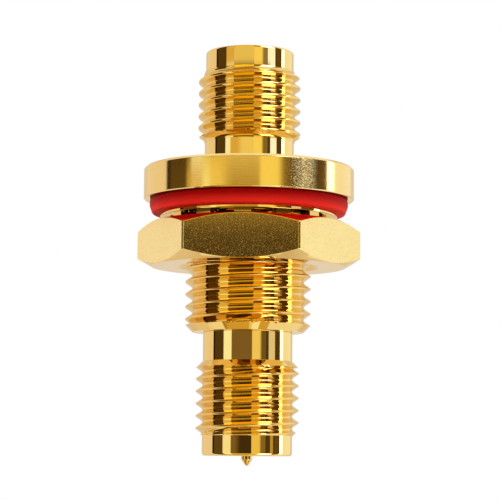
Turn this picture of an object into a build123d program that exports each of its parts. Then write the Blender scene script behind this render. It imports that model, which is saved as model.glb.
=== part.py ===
from build123d import *
from math import cos, radians, sin, tan
import os

# Bulkhead adapter with a threaded coaxial jack at each end. Sizes are in millimetres.
# Everything is turned about Z. The underside of the flange, which seals on the panel,
# is z = 0. The front jack, with the socket contact, points up.

# Coupling thread, the same on both jacks, as a plain cylinder over the crests. Its end at
# the mouth has this lead, and a cone of 45 degrees joins its other end to the neck.
coupling_thread_d = 6.2
coupling_thread_lead = 0.3

# Front jack, from the flange up
front_neck_d = 5.41
front_neck_length = 1.54
front_thread_length = 4.36
front_collar_d = 5.34
front_collar_length = 1.22
front_collar_edge = 0.12

# Flange and panel thread
flange_d = 12.72
flange_thickness = 1.94
flange_top_edge = 0.15
flange_bottom_edge = 0.06
panel_thread_d = 7.58
panel_thread_length = 8.0
panel_thread_lead = 0.45

# Rear jack, from the panel thread down
rear_neck_d = 5.38
rear_neck_length = 1.73
rear_thread_length = 4.43
rear_collar_d = 5.40
rear_collar_length = 1.21
rear_collar_edge = 0.17

# Mouth of both jacks, and the bore behind it
mouth_d = 4.6
mouth_depth = 1.9
dielectric_d = 4.13

# Joint between the two shells, with both insulator heads clamped in it
spigot_d = 5.2
head_seat_depth = 2.4
insulator_head = 0.6

# Centre contacts
contact_d = 1.27
contact_collar_d = 1.9
contact_collar_length = 1.0
plug_d = 0.7
plug_length = 1.5
socket_bore_d = 0.94
socket_depth = 2.8
slot_width = 0.2
slot_length = 2.3
pin_d = 0.91
pin_taper = 0.8
pin_nose_d = 0.67
pin_nose_length = 0.2
pin_point_length = 0.37
pin_tip_d = 0.15

# Seal ring, its width measured from bore to rim
seal_width = 2.13
seal_thickness = 0.86
seal_bevel_width = 0.17
seal_bevel_height = 0.48
seal_edge_radius = 0.12

# Lock washer, stamped from sheet, its inner teeth twisted out of the plane
washer_sheet = 0.22
rim_width = 0.8
tooth_count = 12
tooth_width = 1.0
tooth_length = 0.71
tooth_root_overlap = 0.15
tooth_twist = 20.5

# Hexagon nut, its corners turned down and bevelled on both sides
nut_across_flats = 11.75
nut_turned_d = 13.49
nut_thickness = 2.63
nut_bevel_d = 11.7
nut_bevel_angle = 30.0
nut_countersink_d = 8.5

# Fits, all measured on the radius unless they lie between flat faces
fit_gap = 0.01
thread_gap = 0.05
seal_bore_gap = 0.08
tooth_to_nut_gap = 0.013

# Heights along the axis
front_neck_top = flange_thickness + front_neck_length
front_thread_top = front_neck_top + front_thread_length
front_mouth = front_thread_top + front_collar_length
front_face = front_mouth - mouth_depth
head_seat = -head_seat_depth
contact_joint = head_seat - insulator_head
spigot_end = contact_joint - insulator_head
panel_thread_end = -panel_thread_length
rear_neck_end = panel_thread_end - rear_neck_length
rear_thread_end = rear_neck_end - rear_thread_length
rear_mouth = rear_thread_end - rear_collar_length
rear_face = rear_mouth + mouth_depth
pin_end = rear_mouth - pin_nose_length - pin_point_length
seal_bottom = -seal_thickness

# Radii that more than one piece uses
coupling_r = coupling_thread_d / 2
panel_r = panel_thread_d / 2
mouth_r = mouth_d / 2
bore_r = dielectric_d / 2 + fit_gap
contact_r = contact_d / 2
collar_r = contact_collar_d / 2
nut_bore_r = panel_r + thread_gap
tooth_tip_r = panel_r + thread_gap
rim_inner_r = tooth_tip_r + tooth_length


def turned(half_section):
    # A half section is a list of (radius, height) points. It is turned about the axis.
    outline = Polyline(*half_section, close=True)
    return revolve(Plane.XZ * make_face(outline), Axis.Z)


def make_main_shell():
    neck_r = front_neck_d / 2
    collar = front_collar_d / 2
    flange_r = flange_d / 2
    socket_r = spigot_d / 2 + fit_gap
    return turned([
        (mouth_r, front_mouth),
        (collar - front_collar_edge, front_mouth),
        (collar, front_mouth - front_collar_edge),
        (collar, front_thread_top),
        (coupling_r - coupling_thread_lead, front_thread_top),
        (coupling_r, front_thread_top - coupling_thread_lead),
        (coupling_r, front_neck_top + coupling_r - neck_r),
        (neck_r, front_neck_top),
        (neck_r, flange_thickness),
        (flange_r - flange_top_edge, flange_thickness),
        (flange_r, flange_thickness - flange_top_edge),
        (flange_r, flange_bottom_edge),
        (flange_r - flange_bottom_edge, 0),
        (panel_r, 0),
        (panel_r, panel_thread_end + panel_thread_lead),
        (panel_r - panel_thread_lead, panel_thread_end),
        (socket_r, panel_thread_end),
        (socket_r, head_seat),
        (bore_r, head_seat),
        (bore_r, front_face),
        (mouth_r, front_face),
    ])


def make_rear_shell():
    spigot_r = spigot_d / 2
    neck_r = rear_neck_d / 2
    collar = rear_collar_d / 2
    shell = turned([
        (bore_r, spigot_end),
        (spigot_r, spigot_end),
        (spigot_r, panel_thread_end),
        (neck_r, panel_thread_end),
        (neck_r, rear_neck_end),
        (coupling_r, rear_neck_end - coupling_r + neck_r),
        (coupling_r, rear_thread_end + coupling_thread_lead),
        (coupling_r - coupling_thread_lead, rear_thread_end),
        (collar, rear_thread_end),
        (collar, rear_mouth),
        (mouth_r, rear_mouth),
        (mouth_r, rear_face),
        (bore_r, rear_face),
    ])
    rim = shell.edges().filter_by(GeomType.CIRCLE).group_by(Axis.Z)[0].sort_by(SortBy.RADIUS)[-1]
    return fillet(rim, rear_collar_edge)


def make_insulator(face, head_outer, joint, collar_pocket):
    # The head is clamped between the shells, and the pocket holds the contact's collar.
    body_r = dielectric_d / 2
    head_r = spigot_d / 2
    hole_r = contact_r + fit_gap
    pocket_r = collar_r + fit_gap
    return turned([
        (hole_r, face),
        (body_r, face),
        (body_r, head_outer),
        (head_r, head_outer),
        (head_r, joint),
        (pocket_r, joint),
        (pocket_r, collar_pocket),
        (hole_r, collar_pocket),
    ])


def make_socket_contact():
    bore = socket_bore_d / 2
    hole_r = plug_d / 2 + fit_gap
    plug_seat = contact_joint + plug_length + fit_gap
    contact = turned([
        (0, plug_seat),
        (hole_r, plug_seat),
        (hole_r, contact_joint),
        (collar_r, contact_joint),
        (collar_r, contact_joint + contact_collar_length),
        (contact_r, contact_joint + contact_collar_length),
        (contact_r, front_face),
        (bore, front_face),
        (bore, front_face - socket_depth),
        (0, front_face - socket_depth),
    ])
    # Two crossed saw cuts leave four spring fingers.
    saw = Box(contact_d * 2, slot_width, slot_length, align=(Align.CENTER, Align.CENTER, Align.MAX))
    return contact - Pos(Z=front_face) * saw - Pos(Z=front_face) * Rot(Z=90) * saw


def make_pin_contact():
    pin = pin_d / 2
    nose = pin_nose_d / 2
    plug = plug_d / 2
    plug_end = contact_joint + plug_length
    return turned([
        (0, plug_end),
        (plug, plug_end),
        (plug, contact_joint),
        (collar_r, contact_joint),
        (collar_r, contact_joint - contact_collar_length),
        (contact_r, contact_joint - contact_collar_length),
        (contact_r, rear_face),
        (pin, rear_face),
        (pin, rear_mouth + pin_taper),
        (nose, rear_mouth),
        (nose, rear_mouth - pin_nose_length),
        (pin_tip_d / 2, pin_end),
        (0, pin_end),
    ])


def make_seal_ring():
    seal_bore_r = panel_r + seal_bore_gap
    seal_r = seal_bore_r + seal_width
    ring = turned([
        (seal_bore_r, 0),
        (seal_r, 0),
        (seal_r, seal_bottom + seal_bevel_height),
        (seal_r - seal_bevel_width, seal_bottom),
        (seal_bore_r, seal_bottom),
    ])
    edge = ring.edges().filter_by(GeomType.CIRCLE).group_by(Axis.Z)[0].sort_by(SortBy.RADIUS)[-1]
    return fillet(edge, seal_edge_radius)


def tooth_depth():
    # How far a twisted tooth reaches below the top of the rim
    twist = radians(tooth_twist)
    return tooth_width * sin(twist) + washer_sheet * cos(twist)


def make_tooth():
    # A blade that runs in from the rim to the thread, twisted about its own length. Its
    # highest edge stays level with the top of the rim, so that it never cuts into the seal.
    length = tooth_length + tooth_root_overlap
    blade = Box(length, tooth_width, washer_sheet, align=(Align.MIN, Align.CENTER, Align.CENTER))
    return Pos(tooth_tip_r, 0, seal_bottom - tooth_depth() / 2) * Rot(X=tooth_twist) * blade


def make_lock_washer():
    rim_outer_r = rim_inner_r + rim_width
    rim = turned([
        (rim_inner_r, seal_bottom),
        (rim_outer_r, seal_bottom),
        (rim_outer_r, seal_bottom - washer_sheet),
        (rim_inner_r, seal_bottom - washer_sheet),
    ])
    return rim + PolarLocations(0, tooth_count) * make_tooth()


def make_hex_nut():
    nut_top = seal_bottom - tooth_depth() - tooth_to_nut_gap
    nut_bottom = nut_top - nut_thickness
    turned_r = nut_turned_d / 2
    bevel_r = nut_bevel_d / 2
    bevel_height = (turned_r - bevel_r) * tan(radians(nut_bevel_angle))
    sink_r = nut_countersink_d / 2
    sink_depth = sink_r - nut_bore_r
    # The blank as it comes off the lathe, which the six flats are then milled on
    blank = turned([
        (nut_bore_r, nut_top - sink_depth),
        (sink_r, nut_top),
        (bevel_r, nut_top),
        (turned_r, nut_top - bevel_height),
        (turned_r, nut_bottom + bevel_height),
        (bevel_r, nut_bottom),
        (sink_r, nut_bottom),
        (nut_bore_r, nut_bottom + sink_depth),
    ])
    hexagon = RegularPolygon(nut_across_flats / 2, 6, major_radius=False, rotation=0)
    flats = extrude(Plane.XY.offset(nut_bottom) * hexagon, nut_thickness)
    return blank & flats


front_pocket = contact_joint + contact_collar_length
rear_pocket = contact_joint - contact_collar_length

pieces = {
    "main_shell": make_main_shell(),
    "rear_shell": make_rear_shell(),
    "front_insulator": make_insulator(front_face, head_seat, contact_joint, front_pocket),
    "rear_insulator": make_insulator(rear_face, spigot_end, contact_joint, rear_pocket),
    "socket_contact": make_socket_contact(),
    "pin_contact": make_pin_contact(),
    "seal_ring": make_seal_ring(),
    "lock_washer": make_lock_washer(),
    "hex_nut": make_hex_nut(),
}

os.makedirs("parts", exist_ok=True)
for name, piece in pieces.items():
    export_step(piece, f"parts/{name}.step")
    print(name, round(piece.volume, 4))
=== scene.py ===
import bpy
import bmesh
from math import ceil, cos, degrees, pi, radians, sin, tan
from mathutils import Matrix, Vector


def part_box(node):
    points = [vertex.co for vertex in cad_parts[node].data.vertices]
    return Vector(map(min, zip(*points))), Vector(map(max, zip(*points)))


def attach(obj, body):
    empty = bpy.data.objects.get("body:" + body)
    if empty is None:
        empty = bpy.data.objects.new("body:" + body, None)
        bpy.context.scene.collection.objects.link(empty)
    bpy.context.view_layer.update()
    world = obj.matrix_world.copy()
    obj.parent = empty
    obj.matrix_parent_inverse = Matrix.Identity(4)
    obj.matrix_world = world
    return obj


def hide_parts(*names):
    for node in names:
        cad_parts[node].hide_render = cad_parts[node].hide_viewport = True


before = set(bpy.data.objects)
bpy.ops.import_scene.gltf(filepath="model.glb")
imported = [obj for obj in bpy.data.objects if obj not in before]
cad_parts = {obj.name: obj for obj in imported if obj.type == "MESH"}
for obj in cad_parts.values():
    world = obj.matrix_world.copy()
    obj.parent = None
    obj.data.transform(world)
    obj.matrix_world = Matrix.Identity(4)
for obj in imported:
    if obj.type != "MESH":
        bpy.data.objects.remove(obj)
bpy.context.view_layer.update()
mm = 0.001
turnedColumns = 224  # around every turned surface, so that all rings share their points
weldDistance = 0.0006 * mm  # points closer than this become one
thinnestFace = 0.0003 * mm
print("frame loaded:", sorted(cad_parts))


def top(node):
    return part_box(node)[1].z / mm


def bottom(node):
    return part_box(node)[0].z / mm


def reach(node):
    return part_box(node)[1].x / mm


# Small tools for the node trees

def calc(tree, operation, *values):
    node = tree.nodes.new("ShaderNodeMath")
    node.operation = operation
    for socket, value in zip(node.inputs, values):
        if isinstance(value, bpy.types.NodeSocket):
            tree.links.new(value, socket)
        else:
            socket.default_value = value
    return node.outputs[0]


def spread(tree, value, low, high, toLow=0.0, toHigh=1.0):
    node = tree.nodes.new("ShaderNodeMapRange")
    node.interpolation_type = "SMOOTHSTEP"
    tree.links.new(value, node.inputs["Value"])
    for name, number in zip(("From Min", "From Max", "To Min", "To Max"), (low, high, toLow, toHigh)):
        if isinstance(number, bpy.types.NodeSocket):
            tree.links.new(number, node.inputs[name])
        else:
            node.inputs[name].default_value = number
    return node.outputs["Result"]


def blendColour(tree, factor, first, second):
    node = tree.nodes.new("ShaderNodeMix")
    node.data_type = "RGBA"
    for name, value in (("Factor_Float", factor), ("A_Color", first), ("B_Color", second)):
        socket = next(s for s in node.inputs if s.identifier == name)
        if isinstance(value, bpy.types.NodeSocket):
            tree.links.new(value, socket)
        else:
            socket.default_value = value
    return next(s for s in node.outputs if s.identifier == "Result_Color")


def blendValue(tree, factor, first, second):
    node = tree.nodes.new("ShaderNodeMix")
    for identifier, value in (("Factor_Float", factor), ("A_Float", first), ("B_Float", second)):
        tree.links.new(value, next(s for s in node.inputs if s.identifier == identifier))
    return next(s for s in node.outputs if s.identifier == "Result_Float")


def splitAxes(tree, vector):
    node = tree.nodes.new("ShaderNodeSeparateXYZ")
    tree.links.new(vector, node.inputs[0])
    return node.outputs


def noise(tree, vector, scale, detail=2.0, roughness=0.5):
    node = tree.nodes.new("ShaderNodeTexNoise")
    node.inputs["Scale"].default_value = scale
    node.inputs["Detail"].default_value = detail
    node.inputs["Roughness"].default_value = roughness
    tree.links.new(vector, node.inputs["Vector"])
    return node.outputs["Fac"]


def stretch(tree, vector, scale):
    node = tree.nodes.new("ShaderNodeMapping")
    node.inputs["Scale"].default_value = scale
    tree.links.new(vector, node.inputs["Vector"])
    return node.outputs["Vector"]


def joinAxes(tree, **values):
    node = tree.nodes.new("ShaderNodeCombineXYZ")
    for axis, value in values.items():
        tree.links.new(value, node.inputs[axis])
    return node.outputs[0]


def newMixShader(tree, factor, first, second):
    node = tree.nodes.new("ShaderNodeMixShader")
    for socket, value in zip(node.inputs, (factor, first, second)):
        tree.links.new(value, socket)
    return node.outputs[0]


# Meshes

def meshObject(name, vertices, faces):
    mesh = bpy.data.meshes.new(name)
    mesh.from_pydata([Vector(v) * mm for v in vertices], [], faces)
    mesh.validate()
    piece = bpy.data.objects.new(name, mesh)
    bpy.context.scene.collection.objects.link(piece)
    return piece


def roundedOutline(corners, guard=0.012, steps=5):
    # corners are (radius, height, rounding); a guard point each side keeps the flats flat
    points = []
    count = len(corners)
    for k in range(count):
        r, z, rounding = corners[k]
        here = Vector((r, z))
        if rounding <= 0:
            points.append(here)
            continue
        before = Vector(corners[k - 1][:2]) - here
        after = Vector(corners[(k + 1) % count][:2]) - here
        turn = before.angle(after)
        setBack = min(rounding / tan(turn / 2), before.length * 0.45, after.length * 0.45)
        radius = setBack * tan(turn / 2)
        before.normalize()
        after.normalize()
        centre = here + (before + after).normalized() * (radius / sin(turn / 2))
        start = here + before * setBack
        end = here + after * setBack
        points.append(start + before * guard)
        a = start - centre
        b = end - centre
        sweep = a.angle(b)
        for step in range(steps + 1):
            t = step / steps
            offset = a
            if sweep > 1e-4:
                offset = (a * sin((1 - t) * sweep) + b * sin(t * sweep)) / sin(sweep)
            points.append(centre + offset)
        points.append(end + after * guard)
    return points


def turnedPiece(name, corners, columns=turnedColumns, steps=5):
    outline = roundedOutline(corners, steps=steps)
    vertices = []
    for point in outline:
        for column in range(columns):
            angle = 2 * pi * column / columns
            vertices.append((point.x * cos(angle), point.x * sin(angle), point.y))
    faces = []
    rings = len(outline)
    for ring in range(rings):
        following = (ring + 1) % rings
        for column in range(columns):
            beside = (column + 1) % columns
            faces.append((ring * columns + column, ring * columns + beside,
                          following * columns + beside, following * columns + column))
    return meshObject(name, vertices, faces)


def joined(name, pieces, sharpAngle=35):
    # One closed mesh of several whose rims meet
    shape = bmesh.new()
    for piece in pieces:
        shape.from_mesh(piece.data)
    bmesh.ops.remove_doubles(shape, verts=shape.verts, dist=weldDistance)
    bmesh.ops.dissolve_degenerate(shape, edges=shape.edges, dist=thinnestFace)
    bmesh.ops.recalc_face_normals(shape, faces=shape.faces)
    mesh = bpy.data.meshes.new(name)
    shape.to_mesh(mesh)
    shape.free()
    for piece in pieces:
        bpy.data.objects.remove(piece)
    whole = bpy.data.objects.new(name, mesh)
    bpy.context.scene.collection.objects.link(whole)
    mesh.shade_smooth()
    mesh.set_sharp_from_angle(angle=radians(sharpAngle))
    return whole


# Geometry Nodes: a helical thread as a grid whose rows follow the helix

threadInputs = [
    ("Start", 0.0), ("End", 4.0), ("Pitch", 0.7), ("Crest Radius", 3.1), ("Root Radius", 2.7),
    ("Crest Flat", 0.12), ("Root Flat", 0.1), ("Start Rim", 2.7), ("End Rim", 2.7),
    ("Start Bevel Radius", 3.0), ("End Bevel Radius", 3.0), ("Bevel Sign", 1.0), ("Phase", 0.0),
    ("Bevel Curve", 1.0), ("Bevel Depth", 0.4), ("Root Round", 0.2), ("Crest Round", 0.05),
    ("Start Land", 0.0), ("End Land", 0.0), ("Run Out", 0.1),
    ("Columns", 224), ("Rows Per Turn", 14), ("Rows", 100), ("Column Shift", 0.0),
]


def hyperbola(tree, value, rounding):
    # 0 to 1, straight but for a rounded start
    square = calc(tree, "MULTIPLY", rounding, rounding)
    bent = calc(tree, "SUBTRACT", calc(tree, "SQRT", calc(
        tree, "ADD", calc(tree, "MULTIPLY", value, value), square)), rounding)
    whole = calc(tree, "SUBTRACT", calc(tree, "SQRT", calc(tree, "ADD", square, 1.0)), rounding)
    return calc(tree, "DIVIDE", bent, whole)


def threadTree():
    tree = bpy.data.node_groups.new("helicalThread", "GeometryNodeTree")
    tree.interface.new_socket("Geometry", in_out="OUTPUT", socket_type="NodeSocketGeometry")
    for name, value in threadInputs:
        kind = "NodeSocketInt" if isinstance(value, int) else "NodeSocketFloat"
        tree.interface.new_socket(name, in_out="INPUT", socket_type=kind).default_value = value
    tree.interface.new_socket("Material", in_out="INPUT", socket_type="NodeSocketMaterial")
    given = tree.nodes.new("NodeGroupInput").outputs
    grid = tree.nodes.new("GeometryNodeMeshGrid")
    grid.inputs["Size X"].default_value = 1.0
    grid.inputs["Size Y"].default_value = 1.0
    tree.links.new(calc(tree, "ADD", given["Columns"], 1.0), grid.inputs["Vertices X"])
    tree.links.new(given["Rows"], grid.inputs["Vertices Y"])
    parts = splitAxes(tree, tree.nodes.new("GeometryNodeInputPosition").outputs[0])
    turn = calc(tree, "ADD", parts["X"], 0.5)
    turn = calc(tree, "ADD", turn, calc(tree, "DIVIDE", given["Column Shift"], given["Columns"]))
    lastRow = calc(tree, "SUBTRACT", given["Rows"], 1.0)
    row = calc(tree, "ROUND", calc(tree, "MULTIPLY", calc(tree, "ADD", parts["Y"], 0.5), lastRow))
    turns = calc(tree, "SUBTRACT", calc(tree, "DIVIDE", row, given["Rows Per Turn"]), 1.0)
    climb = calc(tree, "MULTIPLY", calc(tree, "ADD", turns, turn), given["Pitch"])
    height = calc(tree, "ADD", given["Start"], climb)
    height = calc(tree, "MINIMUM", calc(tree, "MAXIMUM", height, given["Start"]), given["End"])
    along = calc(tree, "DIVIDE", calc(tree, "SUBTRACT", height, given["Start"]), given["Pitch"])
    phase = calc(tree, "FRACT", calc(tree, "ADD", calc(tree, "SUBTRACT", along, turn), given["Phase"]))
    swing = calc(tree, "SUBTRACT", calc(tree, "MULTIPLY", phase, 2.0), 1.0)
    wave = calc(tree, "SUBTRACT", 1.0, calc(tree, "ABSOLUTE", swing))
    flank = calc(tree, "SUBTRACT", 1.0, calc(tree, "ADD", given["Crest Flat"], given["Root Flat"]))
    rise = calc(tree, "DIVIDE", calc(tree, "SUBTRACT", wave, given["Root Flat"]), flank)
    rise = calc(tree, "MINIMUM", calc(tree, "MAXIMUM", rise, 0.0), 1.0)
    # the groove is left uncut on the land at each end
    above = calc(tree, "SUBTRACT", calc(tree, "SUBTRACT", height, given["Start"]), given["Start Land"])
    below = calc(tree, "SUBTRACT", calc(tree, "SUBTRACT", given["End"], height), given["End Land"])
    uncut = spread(tree, calc(tree, "MINIMUM", above, below), 0.0, given["Run Out"], 1.0, 0.0)
    rise = calc(tree, "MAXIMUM", rise, uncut)
    fromRoot = hyperbola(tree, rise, given["Root Round"])
    fall = calc(tree, "SUBTRACT", 1.0, rise)
    fromCrest = calc(tree, "SUBTRACT", 1.0, hyperbola(tree, fall, given["Crest Round"]))
    rise = blendValue(tree, rise, fromRoot, fromCrest)
    depth = calc(tree, "SUBTRACT", given["Crest Radius"], given["Root Radius"])
    radius = calc(tree, "ADD", given["Root Radius"], calc(tree, "MULTIPLY", rise, depth))
    # the bevel at each end, cut from the outside of a stud or the inside of a nut, which is
    # straight at 45 degrees unless Bevel Curve bends it
    fromStart = calc(tree, "SUBTRACT", height, given["Start"])
    fromStart = calc(tree, "MULTIPLY", fromStart, given["Bevel Sign"])
    fromEnd = calc(tree, "SUBTRACT", given["End"], height)
    fromEnd = calc(tree, "MULTIPLY", fromEnd, given["Bevel Sign"])
    for edge, away in (("Start Bevel Radius", fromStart), ("End Bevel Radius", fromEnd)):
        share = calc(tree, "DIVIDE", calc(tree, "ABSOLUTE", away), given["Bevel Depth"])
        deep = calc(tree, "MULTIPLY", given["Bevel Depth"], given["Bevel Sign"])
        away = calc(tree, "MULTIPLY", calc(tree, "POWER", share, given["Bevel Curve"]), deep)
        limit = calc(tree, "MULTIPLY", calc(tree, "ADD", given[edge], away), given["Bevel Sign"])
        signed = calc(tree, "MULTIPLY", radius, given["Bevel Sign"])
        radius = calc(tree, "MULTIPLY", calc(tree, "MINIMUM", signed, limit), given["Bevel Sign"])
    isFirst = calc(tree, "LESS_THAN", row, 0.5)
    isLast = calc(tree, "GREATER_THAN", row, calc(tree, "SUBTRACT", lastRow, 0.5))
    for edge, isRim in (("Start Rim", isFirst), ("End Rim", isLast)):
        step = calc(tree, "MULTIPLY", calc(tree, "SUBTRACT", given[edge], radius), isRim)
        radius = calc(tree, "ADD", radius, step)
    angle = calc(tree, "MULTIPLY", turn, 2 * pi)
    x = calc(tree, "MULTIPLY", radius, calc(tree, "COSINE", angle))
    y = calc(tree, "MULTIPLY", radius, calc(tree, "SINE", angle))
    place = joinAxes(tree, X=calc(tree, "MULTIPLY", x, mm), Y=calc(tree, "MULTIPLY", y, mm),
                     Z=calc(tree, "MULTIPLY", height, mm))
    move = tree.nodes.new("GeometryNodeSetPosition")
    tree.links.new(grid.outputs["Mesh"], move.inputs["Geometry"])
    tree.links.new(place, move.inputs["Position"])
    weld = tree.nodes.new("GeometryNodeMergeByDistance")
    weld.inputs["Distance"].default_value = weldDistance
    tree.links.new(move.outputs[0], weld.inputs["Geometry"])
    finishTree(tree, weld.outputs[0], given["Material"])
    return tree


def finishTree(tree, geometry, material):
    real = tree.nodes.new("GeometryNodeRealizeInstances")
    tree.links.new(geometry, real.inputs["Geometry"])
    coated = tree.nodes.new("GeometryNodeSetMaterial")
    tree.links.new(real.outputs[0], coated.inputs["Geometry"])
    tree.links.new(material, coated.inputs["Material"])
    out = tree.nodes.new("NodeGroupOutput")
    tree.links.new(coated.outputs[0], out.inputs[0])


def grown(name, tree, values):
    # Runs a Geometry Nodes tree with these inputs and keeps its result as a plain mesh
    holder = meshObject(name, [(0, 0, 0)], [])
    modifier = holder.modifiers.new("grow", "NODES")
    modifier.node_group = tree
    sockets = {s.name: s.identifier for s in tree.interface.items_tree if s.in_out == "INPUT"}
    for label, value in values.items():
        modifier[sockets[label]] = value
    keepResult(holder, modifier)
    return holder


def keepResult(piece, modifier):
    # The piece as its modifier leaves it, as a plain mesh
    result = bpy.data.meshes.new_from_object(piece.evaluated_get(bpy.context.evaluated_depsgraph_get()))
    piece.modifiers.remove(modifier)
    piece.data = result


def threadPiece(name, thread, values, columns=turnedColumns):
    settings = dict(values)
    height = settings["End"] - settings["Start"]
    settings["Rows"] = ceil((height / settings["Pitch"] + 1) * settings["Rows Per Turn"]) + 2
    settings["Columns"] = columns
    return grown(name, thread, settings)


def coat(piece, *materials):
    piece.data.materials.clear()
    for material in materials:
        piece.data.materials.append(material)


def fromAxis(face):
    return Vector(face.center[:2]).length / mm


# Materials

def newMaterial(name):
    material = bpy.data.materials.new(name)
    material.use_nodes = True
    tree = material.node_tree
    return material, tree, tree.nodes["Principled BSDF"]


def objectPlace(tree):
    return tree.nodes.new("ShaderNodeTexCoord").outputs["Object"]


def addBump(tree, shader, height, distance, strength=1.0):
    bump = tree.nodes.new("ShaderNodeBump")
    bump.inputs["Strength"].default_value = strength
    bump.inputs["Distance"].default_value = distance * mm
    tree.links.new(height, bump.inputs["Height"])
    tree.links.new(bump.outputs[0], shader.inputs["Normal"])


def grainGroup():
    # Fine turning lines round the axis, a cloudy wear mask and a sparkling grain
    tree = bpy.data.node_groups.new("platedSurface", "ShaderNodeTree")
    tree.interface.new_socket("Vector", in_out="INPUT", socket_type="NodeSocketVector")
    for name in ("Turning", "Grain", "Clouds"):
        tree.interface.new_socket(name, in_out="OUTPUT", socket_type="NodeSocketFloat")
    given = tree.nodes.new("NodeGroupInput").outputs["Vector"]
    out = tree.nodes.new("NodeGroupOutput").inputs
    lines = noise(tree, stretch(tree, given, (300, 300, 26000)), 1.0, 3.0, 0.65)
    tree.links.new(lines, out["Turning"])
    grain = noise(tree, given, 14000.0, 2.0, 0.7)
    tree.links.new(grain, out["Grain"])
    clouds = noise(tree, given, 420.0, 2.0, 0.55)
    tree.links.new(clouds, out["Clouds"])
    return tree


plating = {
    "colour": (0.913, 0.68, 0.30, 1.0),
    "deepColour": (0.87, 0.60, 0.21, 1.0),
    # the thread colour is a darker gold, painted shade for the thread grooves
    "threadShadeColour": (0.82, 0.55, 0.17, 1.0),
    "agedColour": (0.74, 0.42, 0.10, 1.0),
    "pitColour": (0.30, 0.17, 0.04, 1.0), "pitShare": 0.35,
    "scratchColour": (0.22, 0.12, 0.03, 1.0),
}

# one patch of the flange's rim, by its bearing in degrees from the front
rimPatch = {
    "bearing": 33.5, "halfWidth": 7.5, "streakDepth": 1.0, "scratchDepth": 9.0, "fleckShare": 0.8,
}


def goldMaterial(name, group, turning, grain, roughness, roughSpread, tint):
    material, tree, shader = newMaterial(name)
    finish = tree.nodes.new("ShaderNodeGroup")
    finish.node_tree = group
    tree.links.new(objectPlace(tree), finish.inputs["Vector"])
    colour = blendColour(tree, finish.outputs["Clouds"], plating["deepColour"], tint)
    tree.links.new(colour, shader.inputs["Base Color"])
    shader.inputs["Metallic"].default_value = 1.0
    uneven = calc(tree, "MULTIPLY", finish.outputs["Clouds"], roughSpread)
    tree.links.new(calc(tree, "ADD", uneven, roughness), shader.inputs["Roughness"])
    height = calc(tree, "ADD", calc(tree, "MULTIPLY", finish.outputs["Turning"], turning),
                  calc(tree, "MULTIPLY", finish.outputs["Grain"], grain))
    addBump(tree, shader, height, 0.001)
    return material


def blastedGold():
    material, tree, shader = newMaterial("blastedGold")
    place = objectPlace(tree)
    shader.inputs["Metallic"].default_value = 1.0
    clouds = noise(tree, place, 420.0, 2.0, 0.55)
    colour = blendColour(tree, clouds, plating["deepColour"], plating["colour"])
    flecks = spread(tree, noise(tree, place, 27000.0, 1.0, 0.8), 0.6, 0.72)
    pits = spread(tree, noise(tree, place, 9000.0, 2.0, 0.7), 0.42, 0.30)
    pitted = calc(tree, "MULTIPLY", pits, plating["pitShare"])
    colour = blendColour(tree, pitted, colour, plating["pitColour"])
    tree.links.new(colour, shader.inputs["Base Color"])
    rough = calc(tree, "ADD", calc(tree, "MULTIPLY", flecks, 0.5), 0.08)
    tree.links.new(rough, shader.inputs["Roughness"])
    addBump(tree, shader, noise(tree, place, 24000.0, 2.0, 0.7), 0.0011)
    return material


def brushedRim():
    # Fine marks round the rim, and one patch right of the front that is scratched through them
    material, tree, shader = newMaterial("brushedRim")
    place = objectPlace(tree)
    shader.inputs["Metallic"].default_value = 1.0
    streaks = noise(tree, stretch(tree, place, (900, 900, 24000)), 1.0, 3.0, 0.7)
    scratches = noise(tree, stretch(tree, place, (8000, 8000, 26000)), 1.0, 2.0, 0.75)
    parts = splitAxes(tree, place)
    ahead = calc(tree, "MULTIPLY", parts["Y"], -1.0)
    bearing = calc(tree, "MULTIPLY", calc(tree, "ARCTAN2", parts["X"], ahead), degrees(1))
    fromPatch = calc(tree, "ABSOLUTE", calc(tree, "SUBTRACT", bearing, rimPatch["bearing"]))
    patch = spread(tree, fromPatch, rimPatch["halfWidth"] + 5.0, rimPatch["halfWidth"] - 3.0)
    colour = blendColour(tree, streaks, plating["deepColour"], plating["colour"])
    flecks = noise(tree, stretch(tree, place, (9000, 9000, 15000)), 1.0, 2.0, 0.8)
    flecks = spread(tree, flecks, 0.56, 0.44)
    flecks = calc(tree, "MULTIPLY", calc(tree, "MULTIPLY", flecks, patch), rimPatch["fleckShare"])
    colour = blendColour(tree, flecks, colour, plating["scratchColour"])
    tree.links.new(colour, shader.inputs["Base Color"])
    uneven = calc(tree, "MULTIPLY", streaks, 0.08)
    tree.links.new(calc(tree, "ADD", uneven, 0.07), shader.inputs["Roughness"])
    fine = calc(tree, "MULTIPLY", streaks, rimPatch["streakDepth"])
    rough = calc(tree, "MULTIPLY", calc(tree, "MULTIPLY", scratches, patch), rimPatch["scratchDepth"])
    addBump(tree, shader, calc(tree, "ADD", fine, rough), 0.001)
    return material


silicone = {
    # the third colour on the next line is painted light towards the seal's lower edge
    "dark": (0.38, 0.0, 0.0, 1.0), "light": (0.46, 0.0, 0.0, 1.0), "paintedLipLight": (0.98, 0.022, 0.012, 1.0),
    # painted shadow beneath the flange's overhang
    "paintedFlangeShadow": (0.12, 0.0, 0.0, 1.0),
}


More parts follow.
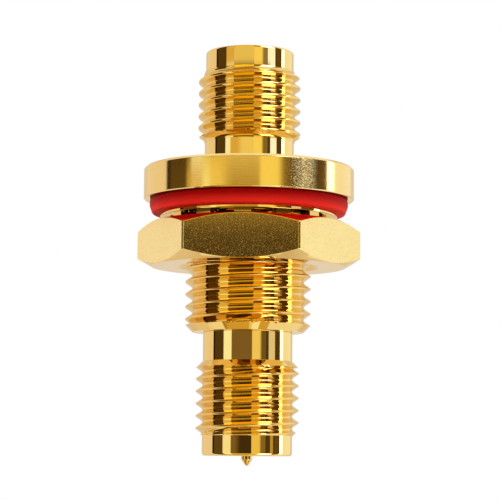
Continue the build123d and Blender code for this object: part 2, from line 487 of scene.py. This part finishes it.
def rubberMaterial():
    material, tree, shader = newMaterial("redSilicone")
    place = objectPlace(tree)
    clouds = noise(tree, place, 500.0, 3.0, 0.6)
    height = splitAxes(tree, place)["Z"]
    colour = blendColour(tree, clouds, silicone["dark"], silicone["light"])
    paintedLipLight = spread(tree, height, -0.2 * mm, -0.8 * mm)  # painted light: brighter towards the lower edge
    colour = blendColour(tree, paintedLipLight, colour, silicone["paintedLipLight"])
    flangeShadowMask = spread(tree, height, -0.02 * mm, -0.16 * mm, 0.6, 0.0)  # painted shadow: darker just beneath the flange's overhang
    colour = blendColour(tree, flangeShadowMask, colour, silicone["paintedFlangeShadow"])
    tree.links.new(colour, shader.inputs["Base Color"])
    tree.links.new(spread(tree, clouds, 0.3, 0.7, 0.42, 0.6), shader.inputs["Roughness"])
    shader.inputs["Subsurface Weight"].default_value = 0.1
    shader.inputs["Subsurface Radius"].default_value = (1.0, 0.2, 0.15)
    shader.inputs["Subsurface Scale"].default_value = 0.0006
    shader.inputs["Specular IOR Level"].default_value = 0.04
    addBump(tree, shader, noise(tree, place, 5200.0, 3.0, 0.6), 0.012, 0.5)
    return material


ptfe = {"dark": (0.80, 0.79, 0.75, 1.0), "light": (0.88, 0.87, 0.84, 1.0)}


def ptfeMaterial():
    material, tree, shader = newMaterial("whitePtfe")
    place = objectPlace(tree)
    clouds = noise(tree, place, 700.0, 2.0, 0.5)
    colour = blendColour(tree, clouds, ptfe["dark"], ptfe["light"])
    tree.links.new(colour, shader.inputs["Base Color"])
    tree.links.new(spread(tree, clouds, 0.3, 0.7, 0.38, 0.5), shader.inputs["Roughness"])
    shader.inputs["Subsurface Weight"].default_value = 0.2
    shader.inputs["Subsurface Scale"].default_value = 0.0008
    lines = noise(tree, stretch(tree, place, (300, 300, 20000)), 1.0, 2.0)
    addBump(tree, shader, lines, 0.004, 0.3)
    return material


surface = grainGroup()
polishedGold = goldMaterial("polishedGold", surface, turning=0.04, grain=0.0, roughness=0.02,
                            roughSpread=0.03, tint=plating["colour"])
# a darker copy of the polished gold: painted shade in the thread grooves
shadedThreadGold = goldMaterial("shadedThreadGold", surface, turning=0.04, grain=0.0, roughness=0.02,
                          roughSpread=0.03, tint=plating["threadShadeColour"])
brushedGold = brushedRim()
satinGold = blastedGold()
agedGold = goldMaterial("agedGold", surface, turning=0.2, grain=0.1, roughness=0.05,
                        roughSpread=0.05, tint=plating["agedColour"])
redSilicone = rubberMaterial()
whitePtfe = ptfeMaterial()
thread = threadTree()
print("materials and thread tree built")


# Front jack, flange and panel thread

mainShell = {
    "collarRadius": 2.67, "neckRadius": 2.705, "flangeRadius": 6.36, "topEdge": 0.15, "lowEdge": 0.06,
    "mouthRadius": 2.3, "mouthDepth": 1.9, "boreRadius": 2.075, "spigotRadius": 2.61,
    "threadTop": 7.84, "threadBottom": 3.48, "flangeTop": 1.94, "headSeat": -2.4,
    "couplingRoot": 2.745, "couplingPitch": 0.7056, "panelRoot": 3.37, "panelPitch": 0.75,
    "panelRadius": 3.79, "panelLead": 0.45, "couplingRadius": 3.1, "collarEdge": 0.12,
}


def makeMainShell():
    s = mainShell
    mouth = top("main_shell")
    foot = bottom("main_shell")
    endRadius = s["panelRadius"] - s["panelLead"]
    body = turnedPiece("shellBody", [
        (s["mouthRadius"], mouth, 0.03),
        (s["collarRadius"], mouth, s["collarEdge"]),
        (s["collarRadius"], s["threadTop"], 0),
        (s["neckRadius"], s["threadBottom"], 0),
        (s["neckRadius"], s["flangeTop"], 0.05),
        (s["flangeRadius"] - s["topEdge"], s["flangeTop"], 0.04),
        (s["flangeRadius"], s["flangeTop"] - s["topEdge"], 0.05),
        (s["flangeRadius"], s["lowEdge"], 0.02),
        (s["flangeRadius"] - s["lowEdge"], 0, 0.02),
        (s["panelRoot"], 0, 0),
        (endRadius, foot, 0),
        (s["spigotRadius"], foot, 0.03),
        (s["spigotRadius"], s["headSeat"], 0),
        (s["boreRadius"], s["headSeat"], 0.02),
        (s["boreRadius"], mouth - s["mouthDepth"], 0.02),
        (s["mouthRadius"], mouth - s["mouthDepth"], 0.02),
    ])
    openRings(body, [(s["collarRadius"], s["threadTop"], s["neckRadius"], s["threadBottom"]),
                     (s["panelRoot"], 0, endRadius, foot)])
    coupling = threadPiece("couplingThread", thread, {
        "Start": s["threadBottom"], "End": s["threadTop"], "Pitch": s["couplingPitch"],
        "Crest Radius": s["couplingRadius"], "Root Radius": s["couplingRoot"],
        "Crest Flat": 0.04, "Root Flat": 0.0, "Root Round": 1.0, "Crest Round": 0.22,
        "Start Land": 0.34, "Bevel Curve": 2.2, "Bevel Depth": 0.395,
        "Start Rim": s["neckRadius"], "End Rim": s["collarRadius"],
        "Start Bevel Radius": s["neckRadius"] + 0.02, "End Bevel Radius": s["collarRadius"] + 0.06,
        "Bevel Sign": 1.0, "Phase": 0.72, "Rows Per Turn": 18, "Material": polishedGold,
    })
    panel = threadPiece("panelThread", thread, {
        "Start": foot, "End": 0.0, "Pitch": s["panelPitch"],
        "Crest Radius": s["panelRadius"], "Root Radius": s["panelRoot"],
        "Crest Flat": 0.03, "Root Flat": 0.0, "Root Round": 0.7, "Crest Round": 0.04,
        "Start Land": 0.42,
        "Start Rim": endRadius, "End Rim": s["panelRoot"],
        "Start Bevel Radius": endRadius, "End Bevel Radius": s["panelRoot"],
        "Bevel Sign": 1.0, "Phase": 0.0, "Rows Per Turn": 16, "Material": polishedGold,
    })
    piece = joined("mainShellDressed", [body, coupling, panel])
    coat(piece, polishedGold, brushedGold, shadedThreadGold)
    for face in piece.data.polygons:
        r = fromAxis(face)
        z = face.center.z / mm
        onCoupling = r > s["collarRadius"] - 0.02 and s["threadBottom"] < z < s["threadTop"]
        onPanelThread = s["panelRoot"] - 0.05 < r < s["panelRadius"] + 0.02 and z < -0.01
        if r > s["flangeRadius"] - 0.03:
            face.material_index = 1
        elif onCoupling or onPanelThread:
            face.material_index = 2
    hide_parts("main_shell")
    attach(piece, "adapter")


def openRings(piece, gaps):
    # Takes out the plain stretch between two rings, where a thread goes in
    def ringOf(radius, height):
        return round(radius, 3), round(height, 3)

    shape = bmesh.new()
    shape.from_mesh(piece.data)
    gapRings = [sorted([ringOf(r1, z1), ringOf(r2, z2)]) for r1, z1, r2, z2 in gaps]
    unwanted = []
    for face in shape.faces:
        rings = {ringOf(Vector(v.co[:2]).length / mm, v.co.z / mm) for v in face.verts}
        if sorted(rings) in gapRings:
            unwanted.append(face)
    bmesh.ops.delete(shape, geom=unwanted, context="FACES_ONLY")
    shape.to_mesh(piece.data)
    shape.free()


rearShell = {
    "neckRadius": 2.69, "collarRadius": 2.70, "mouthRadius": 2.3, "mouthDepth": 1.9,
    "boreRadius": 2.075, "spigotRadius": 2.6, "couplingRadius": 3.1, "couplingRoot": 2.70,
    "couplingPitch": 0.735, "shoulder": -8.0, "threadTop": -9.73, "threadBottom": -14.16,
    "collarEdge": 0.17,
}


def makeRearShell():
    s = rearShell
    mouth = bottom("rear_shell")
    spigotEnd = top("rear_shell")
    body = turnedPiece("rearBody", [
        (s["boreRadius"], spigotEnd, 0.02),
        (s["spigotRadius"], spigotEnd, 0.05),
        (s["spigotRadius"], s["shoulder"], 0),
        (s["neckRadius"], s["shoulder"], 0.02),
        (s["neckRadius"], s["threadTop"], 0),
        (s["collarRadius"], s["threadBottom"], 0),
        (s["collarRadius"], mouth, s["collarEdge"]),
        (s["mouthRadius"], mouth, 0.03),
        (s["mouthRadius"], mouth + s["mouthDepth"], 0.02),
        (s["boreRadius"], mouth + s["mouthDepth"], 0.02),
    ])
    openRings(body, [(s["neckRadius"], s["threadTop"], s["collarRadius"], s["threadBottom"])])
    coupling = threadPiece("rearThread", thread, {
        "Start": s["threadBottom"], "End": s["threadTop"], "Pitch": s["couplingPitch"],
        "Crest Radius": s["couplingRadius"], "Root Radius": s["couplingRoot"],
        "Crest Flat": 0.03, "Root Flat": 0.0, "Root Round": 0.7, "Crest Round": 0.04,
        "End Land": 0.34,
        "Start Rim": s["collarRadius"], "End Rim": s["neckRadius"],
        "Start Bevel Radius": s["collarRadius"] + 0.05, "End Bevel Radius": s["neckRadius"],
        "Bevel Sign": 1.0, "Phase": 0.45, "Rows Per Turn": 20, "Material": polishedGold,
    })
    piece = joined("rearShellDressed", [body, coupling])
    coat(piece, polishedGold, shadedThreadGold)
    for face in piece.data.polygons:
        onThread = s["threadBottom"] < face.center.z / mm < s["threadTop"]
        if onThread and fromAxis(face) > s["neckRadius"] - 0.02:
            face.material_index = 1
    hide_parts("rear_shell")
    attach(piece, "adapter")


makeMainShell()
makeRearShell()
print("shells made")


sealRing = {"bore": 3.87, "radius": 6.0, "thickness": 0.86, "bevelWidth": 0.17, "bevelHeight": 0.48}


def makeSealRing():
    s = sealRing
    low = -s["thickness"]
    piece = turnedPiece("sealRingDressed", [
        (s["bore"], 0, 0.06),
        (s["radius"] - 0.03, 0, 0.08),
        (s["radius"], low + s["bevelHeight"], 0.4),
        (s["radius"] - s["bevelWidth"], low, 0.13),
        (s["bore"], low, 0.06),
    ], steps=6)
    piece = joined("sealRingDressed", [piece])
    coat(piece, redSilicone)
    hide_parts("seal_ring")
    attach(piece, "adapter")


makeSealRing()


washer = {
    "sheet": 0.22, "rimWidth": 0.8, "teeth": 12, "toothWidth": 1.0, "twist": 20.5,
    "toothTip": 3.84, "overlap": 0.15,
    "toothThinning": 0.01,  # so that a blade shares no face with the rim
}


def toothTree():
    # One twisted blade, copied round the rim
    tree = bpy.data.node_groups.new("twistedTeeth", "GeometryNodeTree")
    tree.interface.new_socket("Geometry", in_out="OUTPUT", socket_type="NodeSocketGeometry")
    for name, value in (("Teeth", 12), ("Length", 0.86), ("Width", 1.0), ("Sheet", 0.25),
                        ("Twist", 0.2), ("Tip Radius", 3.84), ("Height", -1.35)):
        kind = "NodeSocketInt" if isinstance(value, int) else "NodeSocketFloat"
        tree.interface.new_socket(name, in_out="INPUT", socket_type=kind).default_value = value
    tree.interface.new_socket("Material", in_out="INPUT", socket_type="NodeSocketMaterial")
    given = tree.nodes.new("NodeGroupInput").outputs
    blade = tree.nodes.new("GeometryNodeMeshCube")
    size = joinAxes(tree, X=calc(tree, "MULTIPLY", given["Length"], mm),
                    Y=calc(tree, "MULTIPLY", given["Width"], mm),
                    Z=calc(tree, "MULTIPLY", given["Sheet"], mm))
    tree.links.new(size, blade.inputs["Size"])
    blade.inputs["Vertices X"].default_value = 9
    blade.inputs["Vertices Y"].default_value = 9
    blade.inputs["Vertices Z"].default_value = 4
    place = tree.nodes.new("GeometryNodeInputPosition").outputs[0]
    length = calc(tree, "MULTIPLY", given["Length"], mm)
    alongBlade = calc(tree, "DIVIDE", splitAxes(tree, place)["X"], length)
    # full twist at the tip, none where the blade meets the rim
    twist = spread(tree, alongBlade, -0.1, 0.42, given["Twist"], 0.0)
    turnBlade = tree.nodes.new("ShaderNodeVectorRotate")
    turnBlade.rotation_type = "X_AXIS"
    tree.links.new(place, turnBlade.inputs["Vector"])
    tree.links.new(twist, turnBlade.inputs["Angle"])
    move = tree.nodes.new("GeometryNodeSetPosition")
    tree.links.new(blade.outputs["Mesh"], move.inputs["Geometry"])
    tree.links.new(turnBlade.outputs[0], move.inputs["Position"])
    shift = tree.nodes.new("GeometryNodeTransform")
    tree.links.new(move.outputs[0], shift.inputs["Geometry"])
    middle = calc(tree, "ADD", given["Tip Radius"], calc(tree, "DIVIDE", given["Length"], 2.0))
    offset = joinAxes(tree, X=calc(tree, "MULTIPLY", middle, mm),
                      Z=calc(tree, "MULTIPLY", given["Height"], mm))
    tree.links.new(offset, shift.inputs["Translation"])
    ring = tree.nodes.new("GeometryNodeMeshLine")
    tree.links.new(given["Teeth"], ring.inputs["Count"])
    ring.inputs["Offset"].default_value = (0, 0, 0)
    copies = tree.nodes.new("GeometryNodeInstanceOnPoints")
    tree.links.new(ring.outputs["Mesh"], copies.inputs["Points"])
    tree.links.new(shift.outputs[0], copies.inputs["Instance"])
    index = tree.nodes.new("GeometryNodeInputIndex").outputs[0]
    share = calc(tree, "DIVIDE", index, given["Teeth"])
    tree.links.new(joinAxes(tree, Z=calc(tree, "MULTIPLY", share, 2 * pi)), copies.inputs["Rotation"])
    finishTree(tree, copies.outputs[0], given["Material"])
    return tree


def makeLockWasher():
    s = washer
    high = top("lock_washer")
    depth = s["toothWidth"] * sin(radians(s["twist"])) + s["sheet"] * cos(radians(s["twist"]))
    outer = reach("lock_washer")
    inner = outer - s["rimWidth"]
    rim = turnedPiece("washerRim", [
        (inner, high, 0.03),
        (outer, high, 0.05),
        (outer, high - s["sheet"], 0.05),
        (inner, high - s["sheet"], 0.03),
    ])
    teeth = grown("washerTeeth", toothTree(), {
        "Teeth": s["teeth"], "Length": inner + s["overlap"] - s["toothTip"], "Width": s["toothWidth"],
        "Sheet": s["sheet"] - s["toothThinning"], "Twist": radians(s["twist"]),
        "Tip Radius": s["toothTip"], "Height": high - depth / 2, "Material": polishedGold,
    })
    piece = joined("lockWasherDressed", [rim, teeth])
    coat(piece, polishedGold)
    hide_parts("lock_washer")
    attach(piece, "washer")


makeLockWasher()
print("seal and washer made")


nut = {
    "columns": 288,  # so that each turned corner is one column wide
    "acrossFlats": 11.75, "turnedRadius": 6.745, "bevelRadius": 5.85, "bevelAngle": 30.0,
    "sinkRadius": 4.25, "edge": 0.09, "edgeSteps": 4, "threadRoot": 3.84, "threadCrest": 3.46,
}


def makeHexNut():
    s = nut
    columns = s["columns"]
    high = top("hex_nut")
    low = bottom("hex_nut")
    slope = tan(radians(s["bevelAngle"]))

    def flatReach(angle):
        fromCorner = (angle + pi / 6) % (pi / 3) - pi / 6  # one corner lies along X
        fromFlat = pi / 6 - abs(fromCorner)
        return min(s["acrossFlats"] / 2 / cos(fromFlat), s["turnedRadius"])

    vertices = []
    for column in range(columns):
        angle = 2 * pi * (column + 0.5) / columns
        outer = flatReach(angle)
        drop = (outer - s["bevelRadius"]) * slope
        section = [
            (s["sinkRadius"], high), (s["bevelRadius"], high), (outer, high - drop),
            (outer, low + drop), (s["bevelRadius"], low), (s["sinkRadius"], low),
        ]
        vertices.extend((r * cos(angle), r * sin(angle), z) for r, z in section)
    faces = []
    points = len(section)
    for column in range(columns):
        here = column * points
        beside = (column + 1) % columns * points
        for k in range(points - 1):
            faces.append((here + k, here + k + 1, beside + k + 1, beside + k))
    body = meshObject("nutBody", vertices, faces)
    inside = threadPiece("nutThread", thread, {
        "Start": low, "End": high, "Pitch": mainShell["panelPitch"],
        "Crest Radius": s["threadCrest"], "Root Radius": s["threadRoot"],
        "Crest Flat": 0.14, "Root Flat": 0.06, "Start Rim": s["sinkRadius"], "End Rim": s["sinkRadius"],
        "Start Bevel Radius": s["sinkRadius"], "End Bevel Radius": s["sinkRadius"],
        "Bevel Sign": -1.0, "Phase": nutPhase(low), "Rows Per Turn": 14, "Column Shift": 0.5,
        "Material": satinGold,
    }, columns)
    bevel = body.modifiers.new("edges", "BEVEL")
    bevel.width = s["edge"] * mm
    bevel.segments = s["edgeSteps"]
    bevel.limit_method = "ANGLE"
    bevel.angle_limit = radians(24)
    keepResult(body, bevel)
    guardFaces(body, s["edge"])
    piece = joined("hexNutDressed", [body, inside], sharpAngle=18)
    coat(piece, satinGold, polishedGold)
    for face in piece.data.polygons:
        upright = abs(face.normal.z) < 0.05
        if not upright or fromAxis(face) <= s["acrossFlats"] / 2 - 0.01:
            face.material_index = 1
    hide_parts("hex_nut")
    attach(piece, "nut")


def guardFaces(piece, edge):
    # A narrow ring inside each large face keeps its shading off the rounded edges
    shape = bmesh.new()
    shape.from_mesh(piece.data)
    shape.normal_update()
    large = [f for f in shape.faces if max(e.calc_length() for e in f.edges) > edge * 6 * mm]
    bmesh.ops.inset_region(shape, faces=large, thickness=0.014 * mm, use_even_offset=True,
                           use_boundary=True)
    shape.to_mesh(piece.data)
    shape.free()


def nutPhase(low):
    # The nut's ridges lie in the stud's grooves: half a pitch off, in step with the stud's start
    return ((low - bottom("main_shell")) / mainShell["panelPitch"] + 0.5) % 1.0


makeHexNut()
print("nut made")


pin = {
    "radius": 0.455, "nose": 0.335, "tip": 0.075, "bodyRadius": 0.635, "plug": 0.35, "collar": 0.95,
    "collarLength": 1.0, "jointHeight": -3.0, "taper": 0.8, "noseLength": 0.2, "columns": 96,
}


def makePinContact():
    s = pin
    low = bottom("pin_contact")
    mouth = bottom("rear_shell")
    face = mouth + rearShell["mouthDepth"]
    back = top("pin_contact")
    joint = s["jointHeight"]
    piece = turnedPiece("pinContactDressed", [
        (0.0, back, 0),
        (s["plug"], back, 0.03),
        (s["plug"], joint, 0),
        (s["collar"], joint, 0.02),
        (s["collar"], joint - s["collarLength"], 0.02),
        (s["bodyRadius"], joint - s["collarLength"], 0),
        (s["bodyRadius"], face, 0.02),
        (s["radius"], face, 0),
        (s["radius"], mouth + s["taper"], 0.1),
        (s["nose"], mouth, 0.05),
        (s["nose"], mouth - s["noseLength"], 0.05),
        (s["tip"], low, 0.03),
        (0.0, low, 0),
    ], columns=s["columns"])
    piece = joined("pinContactDressed", [piece], sharpAngle=30)
    coat(piece, agedGold)
    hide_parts("pin_contact")
    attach(piece, "adapter")


makePinContact()


# The inner pieces keep their solids

coat(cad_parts["front_insulator"], whitePtfe)
coat(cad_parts["rear_insulator"], whitePtfe)
coat(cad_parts["socket_contact"], polishedGold)
print("inner pieces dressed")


# Camera: a little to the right of the nut's front flat, low down and looking slightly up

view = {
    "distance": 115.0, "eyeHeight": -15.27, "aside": 4.3, "tilt": 6.09, "pan": 0.047, "roll": 0.46,
    "lens": 137.9, "sensor": 36.0,
}


def makeCamera():
    aside = radians(view["aside"])
    data = bpy.data.cameras.new("photoView")
    data.lens = view["lens"]
    data.sensor_width = view["sensor"]
    data.clip_start = 0.005
    camera = bpy.data.objects.new("photoView", data)
    bpy.context.scene.collection.objects.link(camera)
    away = view["distance"]
    place = Vector((away * sin(aside), -away * cos(aside), view["eyeHeight"])) * mm
    turn = Matrix.Rotation(aside + radians(-view["pan"]), 4, "Z")
    lift = Matrix.Rotation(radians(90 + view["tilt"]), 4, "X")
    roll = Matrix.Rotation(radians(view["roll"]), 4, "Z")
    camera.matrix_world = Matrix.Translation(place) @ turn @ lift @ roll
    bpy.context.scene.camera = camera


makeCamera()


# Studio: white surroundings, and a light tent of bright and dark cards that only gloss sees

studio = {
    "tentRadius": 75.0, "tentSides": 96, "tentRings": 48, "floor": -90.0, "floorSize": 3000.0,
    "seenRoom": 0.45, "roomLight": 0.55, "seenFloor": 0.97, "lampReach": 350, "lampSize": 200,
}

# the cards' tones, set until the gold came near the colours measured in the photo
tones = {
    "white": (1.05, 1.08, 1.02), "cream": (0.93, 0.85, 0.72), "edge": (0.8, 0.72, 0.6),
    "light": (1.1, 1.24, 1.12), "paleGold": (1.08, 1.1, 0.86), "glow": (1.08, 1.1, 0.57),
    "ivory": (1.02, 1.02, 0.95), "daylight": (1.06, 1.16, 1.2), "ground": (0.7, 0.6, 0.45),
    "bronze": (0.74, 0.52, 0.125), "topGold": (0.9, 0.76, 0.29), "warmGold": (0.97, 0.75, 0.2),
    "moss": (0.18, 0.12, 0.035), "clay": (0.31, 0.25, 0.13), "umber": (0.125, 0.08, 0.02),
    "gold": (0.97, 0.84, 0.33), "richGold": (1.07, 0.93, 0.28), "amber": (0.8, 0.56, 0.15),
    "dimGold": (0.56, 0.4, 0.1), "tan": (0.225, 0.147, 0.048), "olive": (0.26, 0.18, 0.05),
    "shade": (0.077, 0.054, 0.021), "dark": (0.06, 0.037, 0.012), "brown": (0.09, 0.056, 0.017),
    "black": (0.02, 0.01, 0.001), "strip": (1.2, 1.4, 1.9), "soft": (0.85, 0.8, 0.66),
    "lamp": (3.5, 3.5, 3.4), "lampBox": (6.5, 6.8, 7.6), "sun": (1.32, 1.0, 0.07),
    "ember": (0.28, 0.14, 0.01), "rust": (0.5, 0.28, 0.01), "glare": (1.8, 1.8, 1.0),
}

# heights on the tent at which each belt of cards ends, from the bottom up, and how softly
belts = [(-70, 1.5), (-60, 4), (-42, 3), (-10, 0.6), (-1, 0.6), (7.4, 0.5), (12, 0.5),
         (16.8, 0.4), (22.1, 0.5), (26, 0.5), (31.5, 1.5), (60, 6)]

# the angle from the camera's direction, positive to its right, at which each row of cards ends,
# how softly it ends, and the cards in its belts
cards = [
    (-143, 6, "ground ground edge edge edge edge edge edge edge edge edge edge white"),
    (-97, 1, "white white cream cream cream ivory cream cream cream cream cream cream white"),
    (-91, 1, "bronze ember brown black black black black black black black black brown dimGold"),
    (-68, 1, "bronze ember brown umber brown brown umber brown brown brown brown brown dimGold"),
    (-63, 1, "bronze ember brown umber brown brown bronze brown brown brown brown brown dimGold"),
    (-49, 3, "bronze ember glare paleGold light light bronze light light amber light amber dimGold"),
    (-41, 1, "bronze ember glare paleGold light light glow amber light amber light amber dimGold"),
    (-24, 9, "bronze ember sun tan tan shade richGold amber dark topGold dark sun dimGold"),
    (11, 1, "bronze ember sun dark tan shade dimGold gold dark topGold dark sun dimGold"),
    (33, 4, "gold ember sun warmGold gold gold richGold richGold amber richGold ember ember dimGold"),
    (47, 1, "light light lampBox olive moss olive olive olive olive clay ember lampBox light"),
    (54.5, 1, "light light lampBox shade shade shade shade shade shade strip strip lampBox light"),
    (60, 1, "light light lampBox shade soft soft soft strip strip strip strip lampBox light"),
    (68.5, 1, "light light lampBox dimGold soft soft soft strip strip strip strip lampBox light"),
    (73, 1, "bronze brown rust brown soft brown brown strip brown brown brown rust light"),
    (90.5, 1, "bronze brown rust umber brown brown umber brown brown umber brown rust light"),
    (101, 1, "white white white lamp lamp lamp lamp lamp lamp lamp white white white"),
    (143, 6, "white white white white white daylight white white white white white white white"),
    (181, 1, "ground ground edge edge edge edge edge edge edge edge edge edge white"),
]


def studioMaterial():
    material = bpy.data.materials.new("studioCards")
    material.use_nodes = True
    tree = material.node_tree
    tree.nodes.clear()
    parts = splitAxes(tree, objectPlace(tree))
    aside = radians(view["aside"])
    across = calc(tree, "ADD", calc(tree, "MULTIPLY", parts["X"], cos(aside)),
                  calc(tree, "MULTIPLY", parts["Y"], sin(aside)))
    ahead = calc(tree, "SUBTRACT", calc(tree, "MULTIPLY", parts["X"], sin(aside)),
                 calc(tree, "MULTIPLY", parts["Y"], cos(aside)))
    azimuth = calc(tree, "MULTIPLY", calc(tree, "ARCTAN2", across, ahead), degrees(1))
    height = calc(tree, "DIVIDE", parts["Z"], mm)
    rises = [spread(tree, height, belt - softness, belt + softness) for belt, softness in belts]
    colour = None
    for end, softness, names in cards:
        names = names.split()
        card = (*tones[names[0]], 1.0)
        for k in range(1, len(names)):
            if names[k - 1] != names[k]:
                card = blendColour(tree, rises[k - 1], card, (*tones[names[k]], 1.0))
        if colour is None:
            colour = card
        else:
            colour = blendColour(tree, spread(tree, azimuth, *previous), colour, card)
        previous = (end - softness, end + softness)
    glow = tree.nodes.new("ShaderNodeEmission")
    tree.links.new(colour, glow.inputs["Color"])
    out = tree.nodes.new("ShaderNodeOutputMaterial")
    tree.links.new(glow.outputs[0], out.inputs["Surface"])
    return material


def makeTent():
    sides, rings, radius = studio["tentSides"], studio["tentRings"], studio["tentRadius"]
    vertices = [(0, 0, -radius), (0, 0, radius)]
    for ring in range(1, rings):
        lift = -pi / 2 + pi * ring / rings
        for side in range(sides):
            turn = 2 * pi * side / sides
            vertices.append((radius * cos(lift) * cos(turn), radius * cos(lift) * sin(turn),
                             radius * sin(lift)))
    faces = []
    for side in range(sides):
        beside = (side + 1) % sides
        faces.append((0, 2 + side, 2 + beside))
        last = 2 + (rings - 2) * sides
        faces.append((1, last + beside, last + side))
        for ring in range(rings - 2):
            a = 2 + ring * sides
            faces.append((a + side, a + sides + side, a + sides + beside, a + beside))
    tent = meshObject("lightTent", vertices, faces)
    coat(tent, studioMaterial())
    tent.visible_camera = False
    tent.visible_diffuse = False
    tent.visible_shadow = False
    tent.visible_transmission = False
    tent.visible_volume_scatter = False


def makeFloor():
    size = studio["floorSize"]
    z = studio["floor"]
    corners = [(-size, -size, z), (size, -size, z), (size, size, z), (-size, size, z)]
    floor = meshObject("paleFloor", corners, [(0, 1, 2, 3)])
    material, tree, shader = newMaterial("paleFloor")
    shader.inputs["Roughness"].default_value = 0.8
    shader.inputs["Specular IOR Level"].default_value = 0.1
    tone = noise(tree, objectPlace(tree), 40.0, 2.0)
    colour = blendColour(tree, tone, (0.83, 0.83, 0.83, 1), (0.86, 0.86, 0.86, 1))
    tree.links.new(colour, shader.inputs["Base Color"])
    glow = tree.nodes.new("ShaderNodeEmission")
    glow.inputs["Color"].default_value = (1, 1, 1, 1)
    seen = calc(tree, "MULTIPLY", seenDirectly(tree), studio["seenFloor"])
    lit = newMixShader(tree, seen, shader.outputs[0], glow.outputs[0])
    # open from beneath, so that the object can be looked at from there
    beneath = tree.nodes.new("ShaderNodeNewGeometry").outputs["Backfacing"]
    clear = tree.nodes.new("ShaderNodeBsdfTransparent").outputs[0]
    oneSided = newMixShader(tree, beneath, lit, clear)
    tree.links.new(oneSided, tree.nodes["Material Output"].inputs["Surface"])
    coat(floor, material)


def seenDirectly(tree):
    path = tree.nodes.new("ShaderNodeLightPath").outputs
    mirrored = calc(tree, "MAXIMUM", path["Is Glossy Ray"], path["Is Transmission Ray"])
    return calc(tree, "MAXIMUM", path["Is Camera Ray"], mirrored)


def makeWorld():
    world = bpy.data.worlds.new("whiteRoom")
    bpy.context.scene.world = world
    world.use_nodes = True
    tree = world.node_tree
    tree.nodes.clear()
    room = tree.nodes.new("ShaderNodeBackground")
    seen = calc(tree, "MULTIPLY", seenDirectly(tree), studio["seenRoom"])
    tree.links.new(calc(tree, "ADD", seen, studio["roomLight"]), room.inputs["Strength"])
    room.inputs["Color"].default_value = (1, 1, 1, 1)
    out = tree.nodes.new("ShaderNodeOutputWorld")
    tree.links.new(room.outputs[0], out.inputs["Surface"])


# name, degrees to the right of the camera, degrees up, and power in watts
lamps = [("keyRight", 60, 30, 0.35), ("fillLeft", -60, 20, 0.2)]


def areaLamp(name, azimuth, elevation, watts):
    data = bpy.data.lights.new(name, "AREA")
    data.size = studio["lampSize"] * mm
    data.energy = watts
    lamp = bpy.data.objects.new(name, data)
    bpy.context.scene.collection.objects.link(lamp)
    a = radians(view["aside"] + azimuth)
    e = radians(elevation)
    way = Vector((sin(a) * cos(e), -cos(a) * cos(e), sin(e)))
    lamp.location = way * studio["lampReach"] * mm
    lamp.rotation_euler = way.to_track_quat("Z", "Y").to_euler()
    lamp.visible_glossy = False


makeTent()
makeFloor()
makeWorld()
for name, azimuth, elevation, watts in lamps:
    areaLamp(name, azimuth, elevation, watts)
bpy.context.scene.view_settings.view_transform = "Standard"
print("studio, lamps and camera set")
